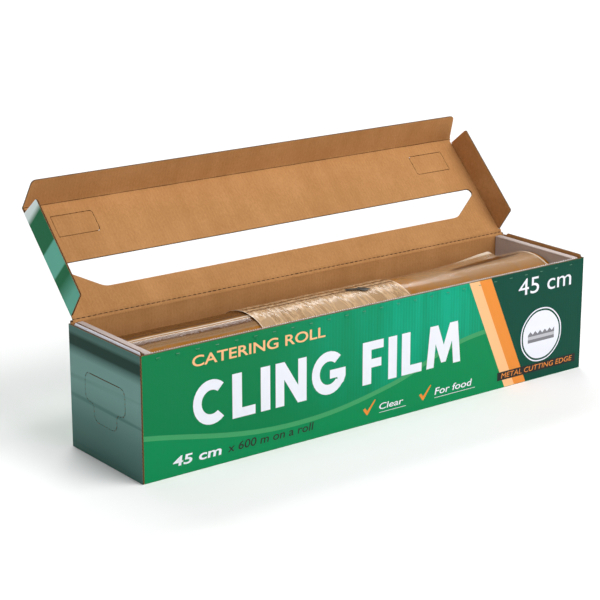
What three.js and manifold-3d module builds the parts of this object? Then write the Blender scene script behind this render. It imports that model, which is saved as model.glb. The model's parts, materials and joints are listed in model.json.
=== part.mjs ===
// A film roll in a corrugated board dispenser box with a hinged lid and a serrated cutter.
// Millimetres. X runs along the roll, -Y is the front, +Z is up.
// The origin is on the underside of the box, at the middle of its base.
// The carton is one folded blank, made here panel by panel, parted at its creases.
import * as THREE from 'three';
import { mergeVertices } from 'three/addons/utils/BufferGeometryUtils.js';
import Module from 'manifold-3d';

// ---------- driving dimensions: the roll ----------
const filmWidth = 457;
const filmRadius = 50;
const coreBore = 38;
const coreWall = 2.5;
const coreToFilm = 0.3;
const rollSides = 64;

// ---------- driving dimensions: the board and the room round the roll ----------
const board = 1.6;
const rollEndPlay = 0.7;
const rollSidePlay = 2.15;
const rollFloorGap = 0.3;
const lidHeadroom = 5.5;
const linerHollow = 3.3;
const flapSlotPlay = 0.5;
const creaseGap = 0.25;
const restGap = 0.3;

// ---------- driving dimensions: the lid ----------
const lidOpenAngle = 134.7;
const lidFrontGap = 1.4;
const frontFlapDepth = 27.3;
const frontFlapFold = 67.5;
const frontFlapEndInset = 0.5;
const frontFlapTaper = 4.3;
const frontFlapCorner = 4;
const sideFlapDepth = 27;
const sideFlapHingeInset = 3;
const sideFlapHingeTaper = 4.5;
const sideFlapFoldInset = 5.5;
const flapSweepClearance = 0.5;
const flapCorner = 2;
const windowFromHinge = 23.5;
const windowWidth = 28;
const windowEndMargin = 9.8;
const windowEndDrop = 6.5;
const windowEndSlope = 32;
const windowCorner = 5;
const tongueLength = 40;
const tongueWidth = 20;
const tongueFromFold = 14;
const tongueFromLidEnd = 20.8;
const tongueCorner = 3;
const tongueCutGap = 0.5;

// ---------- driving dimensions: the front edge and its cutter ----------
const stripThickness = 0.3;
const stripHeight = 9;
const stripEndOverhang = 4.5;
const toothPitch = 2.3;
const toothHeight = 1.1;
const prongPitch = 18.75;
const prongWidth = 3;
const prongHeight = 0.5;
const prongBelowEdge = 4;
const prongStandOut = 0.3;
const slitPlay = 0.1;

// ---------- driving dimensions: the ends ----------
const endPanelStepDown = 2.6;
const dustFlapRearGap = 2.2;
const dustFlapCorner = 5;
const linerSideGap = 0.6;
const tabTopHalf = 30;
const tabFootHalf = 17;
const tabAboveAxis = 20;
const tabBelowAxis = 19;
const tabWaistBelowAxis = 4;
const tabCorner = 8;
const tabCutGap = 0.6;
const tabReliefMargin = 3;

// ---------- driving dimensions: the loose film ----------
const filmLayer = 0.4;
const filmLift = 0.6;
const labelLift = 0.3;
const labelWidth = 160;
const labelOffset = -24;
const labelFrom = 52;
const labelTo = 124;
const tailFrom = 40;
const tailTo = 128;
const tailEndInset = 4;

// ---------- sizes that follow ----------
const lidHalf = filmWidth / 2 + rollEndPlay + board + linerHollow + board + flapSlotPlay + board;
const dustInner = lidHalf + flapSlotPlay;
const endInner = dustInner + board;
const boxHalfLength = endInner + board;
const linerInner = filmWidth / 2 + rollEndPlay;
const riserOuter = linerInner + board + linerHollow + board;
const boxInnerHalf = filmRadius + rollSidePlay;
const boxHalfWidth = boxInnerHalf + board;
const rollAxisZ = board + rollFloorGap + filmRadius;
const lidUnderside = rollAxisZ + filmRadius + lidHeadroom;
const boxHeight = lidUnderside + board;
const ledgeTop = lidUnderside - restGap;
const frontTop = ledgeTop - toothHeight;
const endTop = boxHeight - endPanelStepDown;
const lidDepth = 2 * boxHalfWidth + lidFrontGap + board;
const coreRadius = coreBore / 2 + coreWall;
const stripHalf = filmWidth / 2 + stripEndOverhang;
const prongZ = frontTop - prongBelowEdge;
const flapReach = 2 * boxHalfWidth - board - flapSweepClearance;
const tabHingeZ = rollAxisZ + tabAboveAxis;
const windowHalf = lidHalf - windowEndMargin;

const printedGreen = { color: 0x0a8a55, roughness: 0.35, metalness: 0 };
const kraftBoard = { color: 0xb8854f, roughness: 0.85, metalness: 0 };
const whiteBoard = { color: 0xd8d6d6, roughness: 0.7, metalness: 0 };
const toothedSteel = { color: 0xc4c6c8, roughness: 0.3, metalness: 0.9 };
const amberFilm = { color: 0xb98a3c, roughness: 0.25, metalness: 0 };
const clearFilm = { color: 0xd9d2c4, roughness: 0.15, metalness: 0 };
const paperCore = { color: 0xa98c6a, roughness: 0.85, metalness: 0 };

const wasm = await Module();
wasm.setup();
const rad = THREE.MathUtils.degToRad;

// Turns a closed three.js geometry into a solid that can be joined and cut.
function solid(geometry) {
  const bare = new THREE.BufferGeometry();
  bare.setAttribute('position', geometry.getAttribute('position').clone());
  if (geometry.index) bare.setIndex(geometry.index.clone());
  const merged = mergeVertices(bare, 1e-4);
  const vertProperties = new Float32Array(merged.getAttribute('position').array);
  const triVerts = new Uint32Array(merged.index.array);
  return new wasm.Manifold(new wasm.Mesh({ numProp: 3, vertProperties, triVerts }));
}

function geometryOf(body) {
  const { vertProperties, triVerts } = body.getMesh();
  const geometry = new THREE.BufferGeometry();
  geometry.setAttribute('position', new THREE.BufferAttribute(new Float32Array(vertProperties), 3));
  geometry.setIndex(new THREE.BufferAttribute(new Uint32Array(triVerts), 1));
  geometry.computeVertexNormals();
  return geometry;
}

// An outline of [x, y, corner radius] points, each corner rounded when its radius is above zero.
function outline(points, Kind = THREE.Shape) {
  const path = new Kind();
  const corners = points.map(([x, y, r = 0]) => ({ at: new THREE.Vector2(x, y), r }));
  corners.forEach((corner, i) => {
    const before = corners[(i + corners.length - 1) % corners.length].at;
    const after = corners[(i + 1) % corners.length].at;
    const start = corner.at.clone().add(before.clone().sub(corner.at).setLength(corner.r));
    const end = corner.at.clone().add(after.clone().sub(corner.at).setLength(corner.r));
    if (i === 0) path.moveTo(start.x, start.y);
    else path.lineTo(start.x, start.y);
    if (corner.r > 0) path.quadraticCurveTo(corner.at.x, corner.at.y, end.x, end.y);
  });
  path.closePath();
  return path;
}

// The same points in counterclockwise order, which a shape with holes needs.
function counterclockwise(points) {
  const area = THREE.ShapeUtils.area(points.map(([x, y]) => ({ x, y })));
  return area < 0 ? [...points].reverse() : points;
}

// A sheet of board lying flat: its outer face is at z = 0 and its inner face at z = -board.
function sheet(points, holes = []) {
  const shape = outline(counterclockwise(points));
  shape.holes = holes.map((hole) => outline(hole, THREE.Path));
  const geometry = new THREE.ExtrudeGeometry(shape, { depth: board, bevelEnabled: false, curveSegments: 4 });
  return geometry.translate(0, 0, -board);
}

// Bevels a flat sheet at 45 degrees along a crease through (x, y); outward points away from the sheet.
function mitre(geometry, length, x, y, outward) {
  const depth = 4 * board;
  const bar = new THREE.BoxGeometry(length, depth, depth);
  bar.translate(0, depth / 2, 0);
  bar.rotateX(rad(-45));
  bar.translate(0, -creaseGap, 0);
  bar.rotateZ(outward);
  bar.translate(x, y, 0);
  return geometryOf(solid(geometry).subtract(solid(bar)));
}

function block(x0, x1, y0, y1, z0, z1) {
  const geometry = new THREE.BoxGeometry(x1 - x0, y1 - y0, z1 - z0);
  return geometry.translate((x0 + x1) / 2, (y0 + y1) / 2, (z0 + z1) / 2);
}

// A sheet standing across the box: an outline in (y, z), its outer face at x and its inner face nearer the middle.
function endSheet(side, x, points, holes = []) {
  const flipped = (list) => list.map(([y, z, r]) => [side * y, z, r]);
  const geometry = sheet(flipped(points), holes.map(flipped));
  geometry.rotateX(rad(90));
  geometry.rotateZ(rad(90) * side);
  return geometry.translate(side * x, 0, 0);
}

const box = new THREE.Group();

function place(name, geometry, finish, parent = box) {
  const mesh = new THREE.Mesh(geometry, new THREE.MeshStandardMaterial(finish));
  mesh.name = name;
  parent.add(mesh);
  return mesh;
}

// ---------- where the cutter's prongs pass through the front panel ----------
function prongPlaces() {
  const count = Math.floor((2 * stripHalf - prongWidth * 2) / prongPitch) + 1;
  return Array.from({ length: count }, (_, i) => (i - (count - 1) / 2) * prongPitch);
}

// ---------- tray of the box ----------
function makeTray() {
  place('bottom_panel', block(-endInner, endInner, -boxInnerHalf, boxInnerHalf, 0, board), printedGreen);

  const frontOuter = -boxHalfWidth;
  let front = solid(block(-endInner, endInner, frontOuter, -boxInnerHalf, 0, frontTop));
  for (const x of prongPlaces()) {
    const half = prongWidth / 2 + slitPlay;
    const low = prongZ - prongHeight / 2 - slitPlay;
    const high = prongZ + prongHeight / 2 + slitPlay;
    front = front.subtract(solid(block(x - half, x + half, frontOuter - 1, -boxInnerHalf + 1, low, high)));
  }
  place('front_panel', geometryOf(front), printedGreen);

  const backHeight = boxHeight;
  const flat = sheet([
    [-endInner, -backHeight],
    [endInner, -backHeight],
    [endInner, 0],
    [-endInner, 0],
  ]);
  const back = mitre(flat, 3 * boxHalfLength, 0, 0, 0);
  back.rotateX(rad(90));
  back.rotateZ(rad(180));
  back.translate(0, boxHalfWidth, boxHeight);
  place('back_panel', back, printedGreen);
}

// ---------- outline of the push-in tab in an end, grown by a margin ----------
function tabOutline(grow) {
  const top = tabHingeZ + grow;
  const foot = rollAxisZ - tabBelowAxis - grow;
  const waist = rollAxisZ - tabWaistBelowAxis - grow;
  const wide = tabTopHalf + grow;
  const narrow = tabFootHalf + grow;
  return [
    [-narrow, foot, tabCorner],
    [narrow, foot, tabCorner],
    [narrow, waist, tabCorner / 2],
    [wide, waist, tabCorner],
    [wide, top, tabCorner],
    [-wide, top, tabCorner],
    [-wide, waist, tabCorner],
    [-narrow, waist, tabCorner / 2],
  ];
}

function tabRelief() {
  const wide = tabTopHalf + tabReliefMargin;
  const top = tabHingeZ + tabReliefMargin;
  const foot = rollAxisZ - tabBelowAxis - tabReliefMargin;
  return [
    [-wide, foot, tabCorner],
    [wide, foot, tabCorner],
    [wide, top, tabCorner],
    [-wide, top, tabCorner],
  ];
}

function rectangle(halfY, z0, z1) {
  return [
    [-halfY, z0],
    [halfY, z0],
    [halfY, z1],
    [-halfY, z1],
  ];
}

// ---------- one end: outer panel, dust flap, and the rolled-over liner that carries the lid ----------
function makeEnd(side, name) {
  const panel = endSheet(side, boxHalfLength, rectangle(boxHalfWidth, 0, endTop), [tabOutline(tabCutGap)]);
  place(`${name}_end_panel`, panel, printedGreen);

  const tab = new THREE.Group();
  tab.position.set(side * endInner, 0, tabHingeZ);
  box.add(tab);
  const tabSheet = endSheet(side, board, tabOutline(0).map(([y, z, r]) => [y, z - tabHingeZ, r]));
  place(`${name}_push_tab`, tabSheet, printedGreen, tab);

  const dustRear = boxInnerHalf - dustFlapRearGap;
  const dust = [
    [-boxInnerHalf, board],
    [dustRear, board],
    [dustRear, boxHeight - dustFlapCorner],
    [dustRear - dustFlapCorner, boxHeight],
    [-boxInnerHalf, boxHeight, dustFlapCorner / 2],
  ];
  place(`${name}_dust_flap`, endSheet(side, endInner, dust, [tabRelief()]), whiteBoard);

  const linerHalf = boxInnerHalf - linerSideGap;
  const wall = rectangle(linerHalf, board, ledgeTop - board);
  place(`${name}_liner_riser`, endSheet(side, riserOuter, wall, [tabRelief()]), whiteBoard);
  place(`${name}_liner_wall`, endSheet(side, linerInner + board, wall, [tabRelief()]), whiteBoard);
  const ledgeEnds = [side * linerInner, side * riserOuter].sort((a, b) => a - b);
  const ledge = block(...ledgeEnds, -linerHalf, linerHalf, ledgeTop - board, ledgeTop);
  place(`${name}_liner_ledge`, ledge, whiteBoard);
}

// ---------- serrated strip clinched to the inside of the front panel ----------
function makeCutter() {
  const strip = new THREE.Shape();
  const teeth = Math.floor((2 * stripHalf) / toothPitch);
  const first = (-teeth * toothPitch) / 2;
  strip.moveTo(stripHalf, frontTop - stripHeight);
  strip.lineTo(stripHalf, frontTop);
  for (let i = teeth - 1; i >= 0; i -= 1) {
    strip.lineTo(first + (i + 1) * toothPitch, frontTop);
    strip.lineTo(first + (i + 0.5) * toothPitch, frontTop + toothHeight);
  }
  strip.lineTo(first, frontTop);
  strip.lineTo(-stripHalf, frontTop);
  strip.lineTo(-stripHalf, frontTop - stripHeight);
  strip.closePath();
  const plate = new THREE.ExtrudeGeometry(strip, { depth: stripThickness, bevelEnabled: false });
  plate.rotateX(rad(90));
  plate.translate(0, -boxInnerHalf + stripThickness, 0);
  let body = solid(plate);
  for (const x of prongPlaces()) {
    const tip = -boxHalfWidth - prongStandOut;
    const root = -boxInnerHalf + stripThickness / 2;
    const low = prongZ - prongHeight / 2;
    body = body.add(solid(block(x - prongWidth / 2, x + prongWidth / 2, tip, root, low, low + prongHeight)));
  }
  place('cutter_strip', geometryOf(body), toothedSteel);
}

// ---------- lid, in its own frame: closed flat at z = 0, hinge on y = 0, front fold at y = -lidDepth ----------
function makeLid() {
  const lid = new THREE.Group();
  lid.position.set(0, boxHalfWidth, boxHeight);
  lid.rotation.x = rad(-lidOpenAngle);
  box.add(lid);

  const near = -windowFromHinge;
  const far = near - windowWidth;
  const opening = [
    [-windowHalf, far, windowCorner],
    [windowHalf, far, windowCorner],
    [windowHalf, far + windowEndDrop, windowCorner / 2],
    [windowHalf - windowEndSlope, near, windowCorner],
    [-windowHalf + windowEndSlope, near, windowCorner],
    [-windowHalf, far + windowEndDrop, windowCorner / 2],
  ];
  const tongueY = -lidDepth + tongueFromFold;
  const tongueRoot = lidHalf - tongueFromLidEnd;
  const tongueCut = (side) => {
    const tip = side * (tongueRoot - tongueLength - tongueCutGap);
    return [
      [side * tongueRoot, tongueY - tongueCutGap],
      [side * tongueRoot, tongueY + tongueWidth + tongueCutGap],
      [tip, tongueY + tongueWidth + tongueCutGap, tongueCorner],
      [tip, tongueY - tongueCutGap, tongueCorner],
    ];
  };
  let panel = sheet(
    [
      [-lidHalf, -lidDepth],
      [lidHalf, -lidDepth],
      [lidHalf, 0],
      [-lidHalf, 0],
    ],
    [opening, tongueCut(1), tongueCut(-1)],
  );
  panel = mitre(panel, 3 * lidHalf, 0, 0, 0);
  panel = mitre(panel, 3 * lidHalf, 0, -lidDepth, Math.PI);
  panel = mitre(panel, 3 * lidDepth, lidHalf, -lidDepth / 2, -Math.PI / 2);
  panel = mitre(panel, 3 * lidDepth, -lidHalf, -lidDepth / 2, Math.PI / 2);
  place('lid_panel', panel, kraftBoard, lid);

  const front = new THREE.Group();
  front.position.set(0, -lidDepth, 0);
  front.rotation.x = rad(frontFlapFold);
  lid.add(front);
  const flapHalf = lidHalf - frontFlapEndInset;
  const frontSheet = sheet([
    [flapHalf, 0],
    [-flapHalf, 0],
    [-flapHalf + frontFlapTaper, -frontFlapDepth, frontFlapCorner],
    [flapHalf - frontFlapTaper, -frontFlapDepth, frontFlapCorner],
  ]);
  place('lid_front_flap', mitre(frontSheet, 3 * lidHalf, 0, 0, 0), kraftBoard, front);

  // The free edge of a side flap swings past the front panel, so it stops at flapReach from the hinge.
  const freeEnd = Math.sqrt(flapReach ** 2 - sideFlapDepth ** 2);
  for (const [side, name] of [
    [-1, 'left'],
    [1, 'right'],
  ]) {
    const flap = new THREE.Group();
    flap.position.set(side * lidHalf, 0, 0);
    flap.rotation.y = side * rad(90);
    lid.add(flap);
    const flapSheet = sheet([
      [0, -sideFlapHingeInset],
      [side * sideFlapDepth, -sideFlapHingeInset - sideFlapHingeTaper, flapCorner],
      [side * sideFlapDepth, -freeEnd, flapCorner],
      [0, -lidDepth + sideFlapFoldInset],
    ]);
    const cut = mitre(flapSheet, 3 * lidDepth, 0, -lidDepth / 2, side * (Math.PI / 2));
    place(`lid_${name}_flap`, cut, kraftBoard, flap);

    const tongue = sheet([
      [side * (tongueRoot - restGap), tongueY],
      [side * (tongueRoot - restGap), tongueY + tongueWidth],
      [side * (tongueRoot - tongueLength), tongueY + tongueWidth, tongueCorner],
      [side * (tongueRoot - tongueLength), tongueY, tongueCorner],
    ]);
    place(`lid_${name}_tongue`, tongue, kraftBoard, lid);
  }
}

// ---------- roll of film on its paper core ----------
function tubeAlongX(inner, outer, length) {
  const half = length / 2;
  const profile = [
    new THREE.Vector2(inner, -half),
    new THREE.Vector2(outer, -half),
    new THREE.Vector2(outer, half),
    new THREE.Vector2(inner, half),
    new THREE.Vector2(inner, -half),
  ];
  return new THREE.LatheGeometry(profile, rollSides).rotateZ(rad(90));
}

function makeRoll() {
  const roll = new THREE.Group();
  roll.position.set(0, 0, rollAxisZ);
  box.add(roll);
  place('core_tube', tubeAlongX(coreBore / 2, coreRadius, filmWidth), paperCore, roll);
  place('film_roll', tubeAlongX(coreRadius + coreToFilm, filmRadius, filmWidth), amberFilm, roll);
}

// A thin layer lying round the roll between two angles, measured from the rear up over the top.
function wrapLayer(lift, from, to, x0, x1) {
  const inner = filmRadius + lift;
  const shape = new THREE.Shape();
  shape.absarc(0, 0, inner + filmLayer, rad(from), rad(to), false);
  shape.absarc(0, 0, inner, rad(to), rad(from), true);
  shape.closePath();
  const layer = new THREE.ExtrudeGeometry(shape, { depth: x1 - x0, bevelEnabled: false, curveSegments: 12 });
  layer.rotateX(rad(90));
  layer.rotateZ(rad(90));
  return layer.translate(x0, 0, rollAxisZ);
}

function makeLooseFilm() {
  const half = filmWidth / 2;
  place('film_tail', wrapLayer(filmLift, tailFrom, tailTo, -half + tailEndInset, half - tailEndInset), clearFilm);
  const lift = filmLift + filmLayer + labelLift;
  const middle = labelOffset;
  const label = wrapLayer(lift, labelFrom, labelTo, middle - labelWidth / 2, middle + labelWidth / 2);
  place('start_label', label, clearFilm);
}

makeTray();
makeEnd(-1, 'left');
makeEnd(1, 'right');
makeCutter();
makeLid();
makeRoll();
makeLooseFilm();

export default box;
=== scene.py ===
# %% [markdown]
# # A boxed roll of cling film
# This lesson dresses a carton that dispenses cling film: corrugated board, print, a toothed
# strip and a wound roll of clear film. The carton's panels and joints come ready made, in
# metres, with the front towards -Y. Each finish and each new piece gets a cell of its own.

# %% Load the ready-made parts
import json
import math
import random

import bmesh
import bpy
from mathutils import Matrix, Vector, noise


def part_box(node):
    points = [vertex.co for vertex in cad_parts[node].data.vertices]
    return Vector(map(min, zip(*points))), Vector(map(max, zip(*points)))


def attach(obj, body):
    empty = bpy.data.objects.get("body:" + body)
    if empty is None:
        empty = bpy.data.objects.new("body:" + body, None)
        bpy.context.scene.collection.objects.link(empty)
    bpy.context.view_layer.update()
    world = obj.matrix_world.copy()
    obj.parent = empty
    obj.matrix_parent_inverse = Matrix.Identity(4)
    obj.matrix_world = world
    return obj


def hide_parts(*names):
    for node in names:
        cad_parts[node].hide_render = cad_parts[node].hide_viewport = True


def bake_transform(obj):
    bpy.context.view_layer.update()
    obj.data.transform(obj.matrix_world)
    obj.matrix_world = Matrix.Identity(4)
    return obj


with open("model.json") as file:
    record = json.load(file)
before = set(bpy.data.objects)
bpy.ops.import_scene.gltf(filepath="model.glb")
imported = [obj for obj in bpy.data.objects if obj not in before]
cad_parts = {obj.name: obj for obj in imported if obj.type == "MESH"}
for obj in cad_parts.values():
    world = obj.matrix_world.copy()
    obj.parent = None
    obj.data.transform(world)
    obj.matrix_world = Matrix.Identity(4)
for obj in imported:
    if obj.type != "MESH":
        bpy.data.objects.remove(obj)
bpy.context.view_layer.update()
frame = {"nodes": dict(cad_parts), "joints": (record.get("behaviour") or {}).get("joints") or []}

joints = {joint["name"]: joint for joint in frame["joints"]}

# %% [markdown]
# ## Sizes
# Everything new is placed from the carton itself: the board's thickness, the front face, the
# crease that the lid swings on and the roll's axis. Nothing is typed in twice.

# %% Read the sizes
MM = 0.001
near = 0.02 * MM
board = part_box("bottom_panel")[1].z
front_low, front_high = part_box("front_panel")
front_y = front_low.y
front_top = front_high.z
across, down = Vector((1, 0, 0)), Vector((0, 0, -1))
forward, rear = Vector((0, -1, 0)), Vector((0, 1, 0))
roll_low, roll_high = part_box("film_roll")
roll_axis = Vector((0, 0, (roll_low.z + roll_high.z) / 2))
roll_radius = (roll_high.z - roll_low.z) / 2
film_half = roll_high.x
lid_crease = Vector(joints["lid_hinge"]["pos_m"])
fold_crease = Vector(joints["front_flap_fold"]["pos_m"])
lid_along = Vector(joints["right_flap_fold"]["axis"])
lid_inward = Vector((0, -lid_along.z, lid_along.y))
lid_half = joints["right_flap_fold"]["pos_m"][0]
lid_depth = (fold_crease - lid_crease).length
fold_angle = math.radians(90 + joints["front_flap_fold"]["range_deg"][0])
flap_along = lid_along * math.cos(fold_angle) + lid_inward * math.sin(fold_angle)
flap_inward = lid_inward * math.cos(fold_angle) - lid_along * math.sin(fold_angle)
print(f"board {board / MM:.1f} mm, roll {2 * roll_radius / MM:.0f} mm across,",
      f"lid {lid_depth / MM:.1f} mm deep")

# %% [markdown]
# ## Camera, lights and floor
# A long lens from the front left, a little above the box, shows the front, the left end and
# the inside of the lid together. White surroundings and two big soft lamps make the gloss of
# the print and the film readable.

# %% Camera
def aim(place, azimuth, elevation):
    a = math.radians(azimuth)
    e = math.radians(elevation)
    back = Vector((math.sin(a) * math.cos(e), -math.cos(a) * math.cos(e), math.sin(e)))
    bpy.ops.object.camera_add(location=place, rotation=(-back).to_track_quat("-Z", "Y").to_euler())
    return bpy.context.object


camera = aim((-0.9695, -1.2172, 0.5564), -37.2, 16.49)
camera.data.lens = 112.04
camera.data.sensor_width = 36
bpy.context.scene.camera = camera
print("camera looks from", tuple(round(v, 3) for v in camera.location))

# %% Lamps and floor
def soft_lamp(name, place, target, size, power, colour=(1, 1, 1)):
    bpy.ops.object.light_add(type="AREA", location=place)
    lamp = bpy.context.object
    lamp.name = name
    lamp.data.shape = "RECTANGLE"
    lamp.data.size, lamp.data.size_y = size
    lamp.data.energy = power
    lamp.data.color = colour
    lamp.rotation_euler = (Vector(target) - Vector(place)).to_track_quat("-Z", "Y").to_euler()
    return lamp


soft_lamp("overhead_softbox", (0.35, -0.75, 1.5), (0, 0.05, 0.1), (1.3, 0.8), 21)
soft_lamp("front_softbox", (0.8, -1.7, 0.6), (0.05, 0, 0.08), (0.9, 0.6), 8.5)
soft_lamp("left_end_lamp", (-0.95, -0.15, 0.45), (-0.24, 0, 0.12), (0.35, 0.35), 1.6)
soft_lamp("backdrop_lamp", (1.4, 3.0, 2.4), (1.4, 3.0, 0), (3.6, 2.4), 150)

bpy.context.scene.view_settings.view_transform = "Standard"
world = bpy.data.worlds.new("studio")
world.use_nodes = True
world.node_tree.nodes["Background"].inputs["Color"].default_value = (1, 1, 1, 1)
world.node_tree.nodes["Background"].inputs["Strength"].default_value = 0.24
bpy.context.scene.world = world

bpy.ops.mesh.primitive_plane_add(size=14, location=(0, 3.2, 0))
floor = bpy.context.object
floor.name = "floor"
print("lamps and floor ready")

# %% [markdown]
# ## Shader helpers
# A material here is one Principled BSDF with a few nodes round it. These helpers save typing:
# each makes a node, sets or joins its sockets by name, and hands on the socket that is used.

# %% Helpers for nodes
def material(name, colour, rough, metallic=0.0, specular=0.5, coat=0.0, coat_rough=0.1):
    made = bpy.data.materials.new(name)
    made.use_nodes = True
    shader = made.node_tree.nodes["Principled BSDF"]
    settings = {"Base Color": (*colour, 1), "Roughness": rough, "Metallic": metallic,
                "Specular IOR Level": specular, "Coat Weight": coat, "Coat Roughness": coat_rough}
    for label, value in settings.items():
        shader.inputs[label].default_value = value
    return made, made.node_tree, shader


def node(tree, kind, **values):
    made = tree.nodes.new(kind)
    for key, value in values.items():
        label = key.replace("_", " ")
        if isinstance(value, bpy.types.NodeSocket):
            tree.links.new(value, made.inputs[label])
        elif label in made.inputs:
            made.inputs[label].default_value = value
        else:
            setattr(made, key, value)
    return made


def join(tree, source, target):
    tree.links.new(source, target)


def put(tree, value, socket):
    if isinstance(value, (int, float)):
        socket.default_value = value
    elif isinstance(value, tuple):
        socket.default_value = (*value, 1)
    else:
        join(tree, value, socket)


def maths(tree, operation, *values):
    made = node(tree, "ShaderNodeMath", operation=operation)
    for slot, value in enumerate(values):
        put(tree, value, made.inputs[slot])
    return made.outputs[0]


def blend_colours(tree, factor, first, second):
    made = node(tree, "ShaderNodeMix", data_type="RGBA")
    # A colour mix has its factor on socket 0 and its two colours on sockets 6 and 7.
    for slot, value in ((0, factor), (6, first), (7, second)):
        put(tree, value, made.inputs[slot])
    return made.outputs[2]


print("node helpers ready")

# %% Helpers for places, patterns and groups
def object_place(tree, **mapping):
    place = node(tree, "ShaderNodeTexCoord").outputs["Object"]
    return node(tree, "ShaderNodeMapping", Vector=place, **mapping).outputs[0] if mapping else place


def noise_at(tree, place, **values):
    return node(tree, "ShaderNodeTexNoise", Vector=place, **values).outputs["Fac"]


def map_range(tree, value, low, high, to_low=0.0, to_high=1.0, **values):
    return node(tree, "ShaderNodeMapRange", Value=value, From_Min=low, From_Max=high,
                To_Min=to_low, To_Max=to_high, **values).outputs[0]


def bump(tree, height, distance, strength=1.0, invert=False):
    return node(tree, "ShaderNodeBump", Strength=strength, Distance=distance, Height=height,
                invert=invert).outputs[0]


def new_group(name, inputs, outputs):
    tree = bpy.data.node_groups.new(name, "ShaderNodeTree")
    for label, kind, value in inputs:
        socket = tree.interface.new_socket(label, in_out="INPUT", socket_type=kind)
        if value is not None:
            socket.default_value = value
    for label, kind in outputs:
        tree.interface.new_socket(label, in_out="OUTPUT", socket_type=kind)
    return tree, tree.nodes.new("NodeGroupInput"), tree.nodes.new("NodeGroupOutput")


def use_group(tree, group, **values):
    return node(tree, "ShaderNodeGroup", node_tree=group, **values)


VALUE = "NodeSocketFloat"
NORMAL = "NodeSocketVector"
print("pattern helpers ready")

# %% [markdown]
# ## Effects that several finishes share
# Four effects come back all over a carton, so each is a node group made once:
# * paper fibre: short specks and a soft mottling, with a matching tiny relief,
# * flute ripple: the washboard that the corrugated middle layer presses into a glossy face,
# * scuffs: rubbed patches where a carton has been handled,
# * painted sheen streaks: long streaks, the mask for the painted reflection bands on the varnish.

# %% Paper fibre
def make_paper_fibre():
    tree, feed, result = new_group(
        "paper_fibre",
        [("Speck Size", VALUE, 900.0), ("Strength", VALUE, 1.0), ("Relief", VALUE, 0.00004)],
        [("Tone", VALUE), ("Normal", NORMAL)],
    )
    squeezed = object_place(tree, Scale=(1.0, 0.45, 0.45))
    specks = noise_at(tree, squeezed, Scale=feed.outputs["Speck Size"], Detail=3.0, Roughness=0.7)
    cloud = noise_at(tree, object_place(tree), Scale=38.0, Detail=5.0, Roughness=0.62)
    speck = maths(tree, "MULTIPLY", maths(tree, "SUBTRACT", specks, 0.5), 0.55)
    mottle = maths(tree, "MULTIPLY", maths(tree, "SUBTRACT", cloud, 0.5), 0.35)
    both = maths(tree, "MULTIPLY", maths(tree, "ADD", speck, mottle), feed.outputs["Strength"])
    join(tree, maths(tree, "ADD", both, 0.5), result.inputs["Tone"])
    join(tree, bump(tree, specks, feed.outputs["Relief"]), result.inputs["Normal"])
    return tree


paper_fibre = make_paper_fibre()
print("group:", paper_fibre.name)

# %% Flute ripple
FLUTE_PITCH = 3.2 * MM


def make_flute_ripple():
    tree, feed, result = new_group(
        "flute_ripple",
        [("Depth", VALUE, 0.00006)],
        [("Streak", VALUE), ("Normal", NORMAL)],
    )
    place = object_place(tree)
    stretched = object_place(tree, Scale=(1.0, 0.12, 0.12))
    lengthwise = node(tree, "ShaderNodeSeparateXYZ", Vector=place).outputs["X"]
    wave = maths(tree, "SINE", maths(tree, "MULTIPLY", lengthwise, 2 * math.pi / FLUTE_PITCH))
    streak = noise_at(tree, stretched, Scale=110.0, Detail=2.0, Roughness=0.5)
    broad = noise_at(tree, stretched, Scale=42.0, Detail=1.0)
    sway = noise_at(tree, place, Scale=9.0, Detail=2.0)
    flute = maths(tree, "ADD", maths(tree, "MULTIPLY", wave, 0.35), streak)
    height = maths(tree, "ADD", flute, maths(tree, "MULTIPLY", sway, 14.0))
    lines = maths(tree, "MULTIPLY_ADD", wave, 0.07, maths(tree, "MULTIPLY", streak, 0.6))
    pale = maths(tree, "ADD", lines, maths(tree, "MULTIPLY", broad, 0.6))
    join(tree, map_range(tree, pale, 0.38, 0.82), result.inputs["Streak"])
    join(tree, bump(tree, height, feed.outputs["Depth"]), result.inputs["Normal"])
    return tree


flute_ripple = make_flute_ripple()
print("group:", flute_ripple.name)

# %% Scuffs
def make_scuffs():
    tree, feed, result = new_group(
        "scuffs",
        [("Amount", VALUE, 0.5), ("Size", VALUE, 60.0)],
        [("Mask", VALUE)],
    )
    patch = noise_at(tree, object_place(tree), Scale=feed.outputs["Size"], Detail=6.0,
                     Roughness=0.75, Distortion=0.6)
    edge = map_range(tree, patch, 0.58, 0.75)
    join(tree, maths(tree, "MULTIPLY", edge, feed.outputs["Amount"]), result.inputs["Mask"])
    return tree


scuffs = make_scuffs()
print("group:", scuffs.name)

# %% Painted sheen streaks
def make_painted_sheen_streaks():
    tree, feed, result = new_group(
        "painted_sheen_streaks",
        [("Turn", NORMAL, None), ("Start", VALUE, 0.45), ("Amount", VALUE, 0.5)],
        [("Mask", VALUE)],
    )
    turned = object_place(tree, vector_type="TEXTURE", Rotation=feed.outputs["Turn"],
                          Scale=(0.5, 0.5, 0.016))
    cloud = noise_at(tree, turned, Scale=1.0, Detail=3.0, Roughness=0.45, Distortion=0.3)
    over = maths(tree, "MULTIPLY", maths(tree, "SUBTRACT", cloud, feed.outputs["Start"]), 5.0)
    capped = maths(tree, "MAXIMUM", maths(tree, "MINIMUM", over, 1.0), 0.0)
    join(tree, maths(tree, "MULTIPLY", capped, feed.outputs["Amount"]), result.inputs["Mask"])
    return tree


painted_sheen_streaks = make_painted_sheen_streaks()
print("group:", painted_sheen_streaks.name)
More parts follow.
